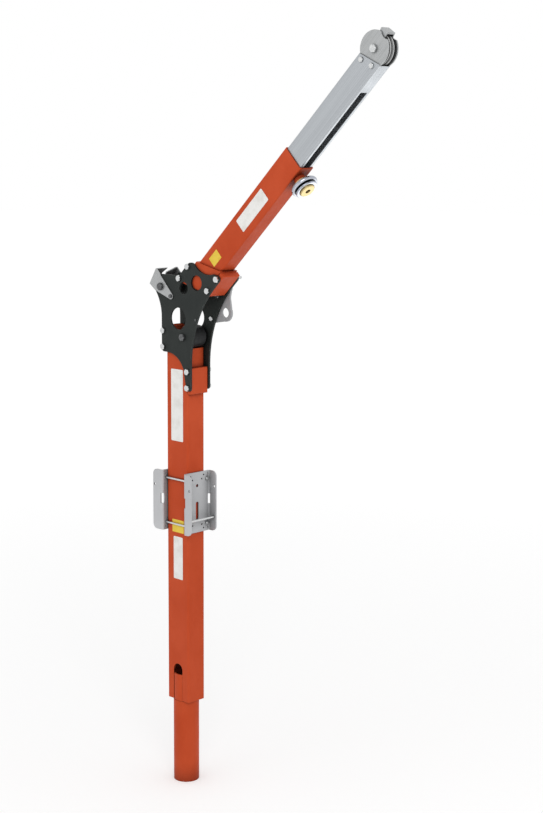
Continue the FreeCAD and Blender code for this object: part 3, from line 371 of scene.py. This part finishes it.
def startTree(name):
    tree = bpy.data.node_groups.new(name, "GeometryNodeTree")
    tree.interface.new_socket(name="Geometry", in_out="INPUT", socket_type="NodeSocketGeometry")
    for label in socketNames:
        tree.interface.new_socket(name=label, in_out="INPUT", socket_type="NodeSocketFloat")
    tree.interface.new_socket(name="Seed", in_out="INPUT", socket_type="NodeSocketInt")
    tree.interface.new_socket(name="Finish", in_out="INPUT", socket_type="NodeSocketMaterial")
    tree.interface.new_socket(name="Geometry", in_out="OUTPUT", socket_type="NodeSocketGeometry")
    return tree, addNode(tree, "NodeGroupInput"), addNode(tree, "NodeGroupOutput")


def mathOn(tree, operation, first, second):
    node = addNode(tree, "ShaderNodeMath", operation=operation)
    for socket, value in zip(node.inputs, (first, second)):
        if isinstance(value, (int, float)):
            socket.default_value = value
        else:
            tree.links.new(value, socket)
    return node.outputs["Value"]


def lifted(tree, shape, height, spin=0.0):
    offset = addNode(tree, "ShaderNodeCombineXYZ")
    tree.links.new(height, offset.inputs["Z"])
    move = addNode(tree, "GeometryNodeTransform")
    move.inputs["Rotation"].default_value = (0, 0, spin)
    tree.links.new(shape, move.inputs["Geometry"])
    tree.links.new(offset.outputs["Vector"], move.inputs["Translation"])
    return move.outputs["Geometry"]


def hexWithChamfer(tree, sizes):
    flats = sizes.outputs["Across Flats"]
    height = sizes.outputs["Head Height"]
    prism = addNode(tree, "GeometryNodeMeshCylinder")
    prism.inputs["Vertices"].default_value = hexShape["sides"]
    tree.links.new(mathOn(tree, "MULTIPLY", flats, hexShape["corner"]), prism.inputs["Radius"])
    tree.links.new(height, prism.inputs["Depth"])
    halfHeight = mathOn(tree, "MULTIPLY", height, 0.5)
    standing = lifted(tree, prism.outputs["Mesh"], halfHeight, math.pi / hexShape["sides"])
    cone = addNode(tree, "GeometryNodeMeshCone")
    cone.inputs["Vertices"].default_value = hexShape["coneSides"]
    topRadius = mathOn(tree, "MULTIPLY", flats, hexShape["topDisc"])
    tree.links.new(topRadius, cone.inputs["Radius Top"])
    flare = mathOn(tree, "MULTIPLY", height, hexShape["chamferSlope"])
    tree.links.new(mathOn(tree, "ADD", topRadius, flare), cone.inputs["Radius Bottom"])
    tree.links.new(height, cone.inputs["Depth"])
    chamfer = addNode(tree, "GeometryNodeMeshBoolean", operation="INTERSECT", solver="EXACT")
    tree.links.new(standing, chamfer.inputs[1])
    tree.links.new(cone.outputs["Mesh"], chamfer.inputs[1])
    return chamfer.outputs["Mesh"]


def threadedShank(tree, sizes):
    radius = sizes.outputs["Shank Radius"]
    length = sizes.outputs["Shank Length"]
    rod = addNode(tree, "GeometryNodeMeshCylinder")
    rod.inputs["Vertices"].default_value = threadShape["rodSides"]
    tree.links.new(mathOn(tree, "MULTIPLY", radius, threadShape["core"]), rod.inputs["Radius"])
    tree.links.new(length, rod.inputs["Depth"])
    rodPlace = lifted(tree, rod.outputs["Mesh"], mathOn(tree, "MULTIPLY", length, -0.5))
    helix = addNode(tree, "GeometryNodeCurveSpiral")
    helix.inputs["Resolution"].default_value = threadShape["turnSteps"]
    pitch = sizes.outputs["Thread Pitch"]
    threadLength = sizes.outputs["Thread Length"]
    ridge = mathOn(tree, "MULTIPLY", pitch, threadShape["ridge"])
    pathRadius = mathOn(tree, "SUBTRACT", radius, ridge)
    tree.links.new(pathRadius, helix.inputs["Start Radius"])
    tree.links.new(pathRadius, helix.inputs["End Radius"])
    tree.links.new(threadLength, helix.inputs["Height"])
    tree.links.new(mathOn(tree, "DIVIDE", threadLength, pitch), helix.inputs["Rotations"])
    outline = addNode(tree, "GeometryNodeCurvePrimitiveCircle")
    outline.inputs["Resolution"].default_value = threadShape["ridgeSides"]
    tree.links.new(ridge, outline.inputs["Radius"])
    sweep = addNode(tree, "GeometryNodeCurveToMesh")
    sweep.inputs["Fill Caps"].default_value = True
    tree.links.new(helix.outputs["Curve"], sweep.inputs["Curve"])
    tree.links.new(outline.outputs["Curve"], sweep.inputs["Profile Curve"])
    threadPlace = lifted(tree, sweep.outputs["Mesh"], mathOn(tree, "MULTIPLY", length, -1.0))
    both = addNode(tree, "GeometryNodeJoinGeometry")
    tree.links.new(rodPlace, both.inputs["Geometry"])
    tree.links.new(threadPlace, both.inputs["Geometry"])
    return both.outputs["Geometry"]


def scatterAndClose(tree, sizes, end, shape):
    facing = addNode(tree, "GeometryNodeInputNamedAttribute", data_type="FLOAT_VECTOR")
    facing.inputs["Name"].default_value = "facing"
    align = addNode(tree, "FunctionNodeAlignRotationToVector", axis="Z")
    tree.links.new(facing.outputs["Attribute"], align.inputs["Vector"])
    clocking = addNode(tree, "FunctionNodeRandomValue", data_type="FLOAT")
    clocking.inputs[randomSockets["highest"]].default_value = 2 * math.pi / hexShape["sides"]
    tree.links.new(sizes.outputs["Seed"], clocking.inputs["Seed"])
    spin = addNode(tree, "FunctionNodeAxisAngleToRotation")
    spin.inputs["Axis"].default_value = (0, 0, 1)
    tree.links.new(clocking.outputs[randomSockets["value"]], spin.inputs["Angle"])
    turned = addNode(tree, "FunctionNodeRotateRotation", rotation_space="LOCAL")
    tree.links.new(align.outputs["Rotation"], turned.inputs["Rotation"])
    tree.links.new(spin.outputs["Rotation"], turned.inputs["Rotate By"])
    place = addNode(tree, "GeometryNodeInstanceOnPoints")
    tree.links.new(sizes.outputs["Geometry"], place.inputs["Points"])
    tree.links.new(shape, place.inputs["Instance"])
    tree.links.new(turned.outputs["Rotation"], place.inputs["Rotation"])
    realize = addNode(tree, "GeometryNodeRealizeInstances")
    tree.links.new(place.outputs["Instances"], realize.inputs["Geometry"])
    dress = addNode(tree, "GeometryNodeSetMaterial")
    tree.links.new(realize.outputs["Geometry"], dress.inputs["Geometry"])
    tree.links.new(sizes.outputs["Finish"], dress.inputs["Material"])
    tree.links.new(dress.outputs["Geometry"], end.inputs["Geometry"])


def hexBoltTree():
    tree, sizes, end = startTree("hexBolt")
    join = addNode(tree, "GeometryNodeJoinGeometry")
    tree.links.new(hexWithChamfer(tree, sizes), join.inputs["Geometry"])
    tree.links.new(threadedShank(tree, sizes), join.inputs["Geometry"])
    scatterAndClose(tree, sizes, end, join.outputs["Geometry"])
    return tree


def hexNutTree():
    tree, sizes, end = startTree("hexNut")
    scatterAndClose(tree, sizes, end, hexWithChamfer(tree, sizes))
    return tree


boltTree = hexBoltTree()
nutTree = hexNutTree()


def growFasteners(name, tree, spots, sizes, seed, body, slot, replaced):
    points = bpy.data.meshes.new(name + "Points")
    points.from_pydata([spot for spot, way in spots], [], [])
    facing = points.attributes.new("facing", "FLOAT_VECTOR", "POINT")
    for entry, (spot, way) in zip(facing.data, spots):
        entry.vector = way
    maker = bpy.data.objects.new(name + "Maker", points)
    scene.collection.objects.link(maker)
    modifier = maker.modifiers.new("fasteners", "NODES")
    modifier.node_group = tree
    given = dict(zip(socketNames, sizes))
    given["Seed"] = seed
    given["Finish"] = finishes[slotFinish[slot]]
    for item in tree.interface.items_tree:
        if item.in_out == "INPUT" and item.name in given:
            modifier[item.identifier] = given[item.name]
    bpy.context.view_layer.update()
    depsgraph = bpy.context.evaluated_depsgraph_get()
    mesh = bpy.data.meshes.new_from_object(maker.evaluated_get(depsgraph))
    mesh.name = name
    bpy.data.objects.remove(maker)
    piece = bpy.data.objects.new(name, mesh)
    scene.collection.objects.link(piece)
    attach(piece, body)
    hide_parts(replaced)


# From the crane's middle to the faces that heads and nuts sit on, in metres. The winch web's is fore and aft.
seats = {"plate": 0.039, "keeper": 0.042, "lug": 0.045, "insidePlate": 0.033, "boom": 0.023, "head": 0.0198,
         "winchWeb": 0.049}

# Eight bolts through both elbow plates, beside the mast and the jib.
crossBolts = {"flats": 0.016, "head": 0.0064, "radius": 0.005, "nut": 0.008, "pastNut": 0.003,
              "pitch": 0.0015, "offset": 0.051, "rearDrops": (0.068, 0.115), "frontDrops": (0.179, 0.226),
              "lowerOuts": (0.138, 0.188), "upperOuts": (0.073, 0.124), "nutSeed": 11}


def crossBoltSpots():
    offset = crossBolts["offset"]
    return {
        "mast_rear_bolts": [atElbow(-offset, -drop) for drop in crossBolts["rearDrops"]],
        "mast_front_bolts": [atElbow(offset, -drop) for drop in crossBolts["frontDrops"]],
        "jib_lower_bolts": [onJib(out, -offset) for out in crossBolts["lowerOuts"]],
        "jib_upper_bolts": [onJib(out, offset) for out in crossBolts["upperOuts"]],
    }


def growCrossBolts():
    size = crossBolts
    thread = size["nut"] + size["pastNut"]
    nutSpots = []
    for seed, (node, spots) in enumerate(crossBoltSpots().items()):
        heads = [(spot + towardNear * seats["plate"], towardNear) for spot in spots]
        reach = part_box(node)[1].y + seats["plate"]
        growFasteners(node.replace("_", "-"), boltTree, heads,
                      (size["flats"], size["head"], size["radius"], reach, thread, size["pitch"]),
                      seed, "mast", "zinc_steel", node)
        nutSpots += spots
    # One of these bolts also holds the lug, and its nut sits on the lug.
    lugBolt = onJib(size["lowerOuts"][0], -size["offset"])
    nuts = []
    for spot in nutSpots:
        seat = seats["lug"] if (spot - lugBolt).length < size["radius"] else seats["plate"]
        nuts.append((spot + towardFar * seat, towardFar))
    growFasteners("cross-bolt-nuts", nutTree, nuts, (size["flats"], size["nut"]), size["nutSeed"],
                  "mast", "zinc_steel", "cross_bolt_nuts")


# Axles of both rollers and the sheave, each with its nut.
axleBolts = {"flats": 0.019, "head": 0.0075, "radius": 0.006, "nut": 0.009, "pastNut": 0.003,
             "pitch": 0.00175}
axles = {
    "front-roller": {"spot": atElbow(0.032, -0.081), "seat": "plate", "body": "mast", "slot": "black_oxide",
                     "seed": 51, "nutNode": "front_roller_nut"},
    "rear-roller": {"spot": atElbow(-0.0585, 0.059), "seat": "keeper", "body": "mast", "slot": "black_oxide",
                    "seed": 53, "nutNode": "rear_roller_nut"},
    "head": {"spot": onJib(1.006, 0.009), "seat": "head", "body": "boom", "slot": "zinc_steel",
             "seed": 55, "nutNode": "head_axle_nut"},
}


def growAxle(label, axle):
    size = axleBolts
    seat = seats[axle["seat"]]
    thread = size["nut"] + size["pastNut"]
    growFasteners(label + "-axle", boltTree, [(axle["spot"] + towardNear * seat, towardNear)],
                  (size["flats"], size["head"], size["radius"], 2 * seat + thread, thread, size["pitch"]),
                  axle["seed"], axle["body"], axle["slot"], label.replace("-", "_") + "_axle")
    growFasteners(label + "-axle-nut", nutTree, [(axle["spot"] + towardFar * seat, towardFar)],
                  (size["flats"], size["nut"]),
                  axle["seed"] + 1, axle["body"], axle["slot"], axle["nutNode"])


# Two small screws at the tips of the cable keeper.
keeperScrews = {"flats": 0.01, "head": 0.004, "radius": 0.003, "pitch": 0.001, "tip": (-0.0165, 0.034),
                "seed": 21}


def growKeeperScrews():
    size = keeperScrews
    tip = atElbow(*size["tip"])
    heads = [(tip + way * seats["keeper"], way) for way in (towardNear, towardFar)]
    shank = seats["keeper"] - seats["insidePlate"]
    growFasteners("keeper-screws", boltTree, heads,
                  (size["flats"], size["head"], size["radius"], shank, shank, size["pitch"]),
                  size["seed"], "mast", "black_oxide", "cable_keeper_screws")


# Two bolts of the lug's own, with heads inside the far plate.
lugBolts = {"flats": 0.013, "head": 0.0053, "nut": 0.0065, "radius": 0.004, "pitch": 0.00125,
            "low": (0.076, -0.029), "high": (0.0995, -0.0424), "seed": 22}


def growLugBolts():
    size = lugBolts
    spots = (atElbow(*size["low"]), onJib(*size["high"]))
    heads = [(spot + towardFar * seats["insidePlate"], towardNear) for spot in spots]
    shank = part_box("anchor_lug_bolts")[1].y - seats["insidePlate"]
    growFasteners("lug-bolts", boltTree, heads,
                  (size["flats"], size["head"], size["radius"], shank, size["nut"], size["pitch"]),
                  size["seed"], "mast", "zinc_steel", "anchor_lug_bolts")
    nuts = [(spot + towardFar * seats["lug"], towardFar) for spot in spots]
    growFasteners("lug-nuts", nutTree, nuts, (size["flats"], size["nut"]),
                  size["seed"] + 1, "mast", "zinc_steel", "anchor_lug_nuts")


# The single screw in the near elbow plate.
nearScrew = {"flats": 0.007, "head": 0.0028, "radius": 0.002, "pitch": 0.0007, "place": (0.086, -0.0265),
             "seed": 24}


def growNearScrew():
    size = nearScrew
    shank = seats["plate"] - seats["insidePlate"]
    spot = atElbow(*size["place"]) + towardNear * seats["plate"]
    growFasteners("near-plate-screw", boltTree, [(spot, towardNear)],
                  (size["flats"], size["head"], size["radius"], shank, shank, size["pitch"]),
                  size["seed"], "mast", "black_oxide", "near_plate_screw")


# Nuts at both ends of the four rods that clamp the winch plates to the mast.
rodNuts = {"flats": 0.01, "height": 0.005, "side": 0.0375, "middle": 0.861, "halfSpacing": 0.067, "seed": 31}


def growRodNuts():
    size = rodNuts
    spots = []
    for side in (-1, 1):
        for level in (-1, 1):
            y = side * size["side"]
            z = size["middle"] + level * size["halfSpacing"]
            for way in (-1, 1):
                spots.append((Vector((way * seats["winchWeb"], y, z)), Vector((way, 0, 0))))
    growFasteners("clamp-rod-nuts", nutTree, spots, (size["flats"], size["height"]),
                  size["seed"], "mast", "zinc_steel", "winch_clamp_nuts")


# Two screws on each side of the boom's end, in a row that leans with the slanted end.
boomScrews = {"flats": 0.013, "head": 0.004, "radius": 0.004, "pitch": 0.00125, "middle": 0.9665,
              "lean": -27 / 70, "spread": 0.018, "shank": 0.0072, "seed": 41}


def growBoomScrews():
    size = boomScrews
    spots = []
    for up in (size["spread"], -size["spread"]):
        for way in (towardNear, towardFar):
            spots.append((onJib(size["middle"] + size["lean"] * up, up) + way * seats["boom"], way))
    growFasteners("boom-screws", boltTree, spots,
                  (size["flats"], size["head"], size["radius"], size["shank"], size["shank"], size["pitch"]),
                  size["seed"], "boom", "zinc_steel", "head_screws")


growCrossBolts()
for label, axle in axles.items():
    growAxle(label, axle)
growKeeperScrews()
growLugBolts()
growNearScrew()
growRodNuts()
growBoomScrews()
print("fasteners grown")

# Blank stickers on the near faces of mast and jib.
stickers = {
    "thickness": 0.00035, "sunk": 0.0001, "cornerSteps": 6, "mastFace": -0.033, "jibFace": -0.0265,
    "mast": {
        "upper-mast-sticker": {"x": (-0.025, 0.025), "z": (1.041, 1.252), "corner": 0.003,
                               "vinyl": "whiteVinyl"},
        "lower-mast-sticker": {"x": (-0.017, 0.022), "z": (0.627, 0.755), "corner": 0.003,
                               "vinyl": "whiteVinyl"},
        "mast-yellow-sticker": {"x": (-0.022, 0.027), "z": (0.768, 0.806), "corner": 0.002,
                                "vinyl": "yellowVinyl"},
    },
    "jib": {
        "jib-sticker": {"out": (0.349, 0.481), "up": (-0.019, 0.022), "corner": 0.003, "vinyl": "whiteVinyl"},
        "jib-yellow-sticker": {"out": (0.195, 0.236), "up": (-0.012, 0.018), "corner": 0.002,
                               "vinyl": "yellowVinyl"},
    },
}


def onMastFace(x, z):
    return Vector((x, stickers["mastFace"] + stickers["sunk"], z))


def onJibFace(out, up):
    return onJib(out, up, stickers["jibFace"] + stickers["sunk"])


def roundedOutline(left, right, low, high, corner):
    steps = stickers["cornerSteps"]
    spots = []
    for index, (x, y) in enumerate(((right, high), (left, high), (left, low), (right, low))):
        inX = x - math.copysign(corner, x - (left + right) / 2)
        inY = y - math.copysign(corner, y - (low + high) / 2)
        for step in range(steps + 1):
            angle = math.radians(90 * (index + step / steps))
            spots.append((inX + corner * math.cos(angle), inY + corner * math.sin(angle)))
    return spots


def laySticker(name, outline, placeAt, vinyl):
    mesh = bpy.data.meshes.new(name)
    shell = bmesh.new()
    face = shell.faces.new([shell.verts.new(placeAt(a, b)) for a, b in outline])
    raised = bmesh.ops.extrude_face_region(shell, geom=[face])
    lift = towardNear * (stickers["thickness"] + stickers["sunk"])
    for item in raised["geom"]:
        if isinstance(item, bmesh.types.BMVert):
            item.co += lift
    bmesh.ops.recalc_face_normals(shell, faces=shell.faces)
    shell.to_mesh(mesh)
    shell.free()
    mesh.materials.append(finishes[vinyl])
    piece = bpy.data.objects.new(name, mesh)
    scene.collection.objects.link(piece)
    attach(piece, "mast")


for name, plan in stickers["mast"].items():
    outline = roundedOutline(*plan["x"], *plan["z"], plan["corner"])
    laySticker(name, outline, onMastFace, plan["vinyl"])
for name, plan in stickers["jib"].items():
    outline = roundedOutline(*plan["out"], *plan["up"], plan["corner"])
    laySticker(name, outline, onJibFace, plan["vinyl"])
print("stickers laid")

# Studio: white surround that metal also sees, pale floor that keeps the shadow, soft lamps.
studio = {"white": (1, 1, 1, 1), "surround": 0.75, "backdrop": 1.0,
          "floorSize": 60.0, "floorColour": (0.82, 0.82, 0.82, 1.0),
          "nearGlow": 0.28, "farGlow": 0.4, "glowStart": 0.5, "glowFull": 5.0}
lamps = {
    "keyLamp": {"place": (3.1, -2.5, 3.0), "aim": (0.1, 0, 1.3), "size": 2.4, "power": 44.0, "beam": 180},
    "fillLamp": {"place": (-0.6, -4.4, 2.2), "aim": (0, 0, 1.1), "size": 3.0, "power": 8.0, "beam": 180},
    "underLamp": {"place": (0.3, 1.7, 0.3), "aim": (0.5, 0, 1.8), "size": 1.4, "power": 1.1, "beam": 80},
}


def seenDirectly(tree):
    path = addNode(tree, "ShaderNodeLightPath")
    first = mathOn(tree, "MAXIMUM", path.outputs["Is Camera Ray"], path.outputs["Is Glossy Ray"])
    return mathOn(tree, "MAXIMUM", first, path.outputs["Is Transmission Ray"])


def setSurround():
    world = bpy.data.worlds.new("whiteSurround")
    scene.world = world
    world.use_nodes = True
    tree = world.node_tree
    lighting = tree.nodes["Background"]
    lighting.inputs["Color"].default_value = studio["white"]
    lighting.inputs["Strength"].default_value = studio["surround"]
    backdrop = addNode(tree, "ShaderNodeBackground")
    backdrop.inputs["Color"].default_value = studio["white"]
    backdrop.inputs["Strength"].default_value = studio["backdrop"]
    mix = addNode(tree, "ShaderNodeMixShader")
    tree.links.new(seenDirectly(tree), mix.inputs["Fac"])
    tree.links.new(lighting.outputs["Background"], mix.inputs[1])
    tree.links.new(backdrop.outputs["Background"], mix.inputs[2])
    tree.links.new(mix.outputs["Shader"], tree.nodes["World Output"].inputs["Surface"])


def layFloor():
    material = bpy.data.materials.new("paleFloor")
    material.use_nodes = True
    tree = material.node_tree
    tree.nodes.remove(tree.nodes["Principled BSDF"])
    matte = addNode(tree, "ShaderNodeBsdfDiffuse")
    matte.inputs["Color"].default_value = studio["floorColour"]
    # A faint glow, stronger with distance, fades the floor into the white surround.
    glow = addNode(tree, "ShaderNodeEmission")
    coords = addNode(tree, "ShaderNodeTexCoord")
    away = addNode(tree, "ShaderNodeVectorMath", operation="LENGTH")
    tree.links.new(coords.outputs["Object"], away.inputs[0])
    amount = spread(tree, away.outputs["Value"], studio["nearGlow"], studio["farGlow"],
                    studio["glowStart"], studio["glowFull"])
    tree.links.new(mathOn(tree, "MULTIPLY", seenDirectly(tree), amount), glow.inputs["Strength"])
    both = addNode(tree, "ShaderNodeAddShader")
    tree.links.new(matte.outputs["BSDF"], both.inputs[0])
    tree.links.new(glow.outputs["Emission"], both.inputs[1])
    tree.links.new(both.outputs["Shader"], tree.nodes["Material Output"].inputs["Surface"])
    half = studio["floorSize"] / 2
    mesh = bpy.data.meshes.new("paleFloor")
    corners = [(-half, -half, 0), (half, -half, 0), (half, half, 0), (-half, half, 0)]
    mesh.from_pydata(corners, [], [(0, 1, 2, 3)])
    mesh.materials.append(material)
    floor = bpy.data.objects.new("paleFloor", mesh)
    scene.collection.objects.link(floor)


def hangLamp(name, plan):
    data = bpy.data.lights.new(name, "AREA")
    data.shape = "DISK"
    data.size = plan["size"]
    data.energy = plan["power"]
    data.spread = math.radians(plan["beam"])
    lamp = bpy.data.objects.new(name, data)
    place = Vector(plan["place"])
    aim = (Vector(plan["aim"]) - place).to_track_quat("-Z", "Y")
    lamp.matrix_world = Matrix.Translation(place) @ aim.to_matrix().to_4x4()
    scene.collection.objects.link(lamp)


setSurround()
layFloor()
for name, plan in lamps.items():
    hangLamp(name, plan)
scene.view_settings.view_transform = "Standard"
print("studio lit")
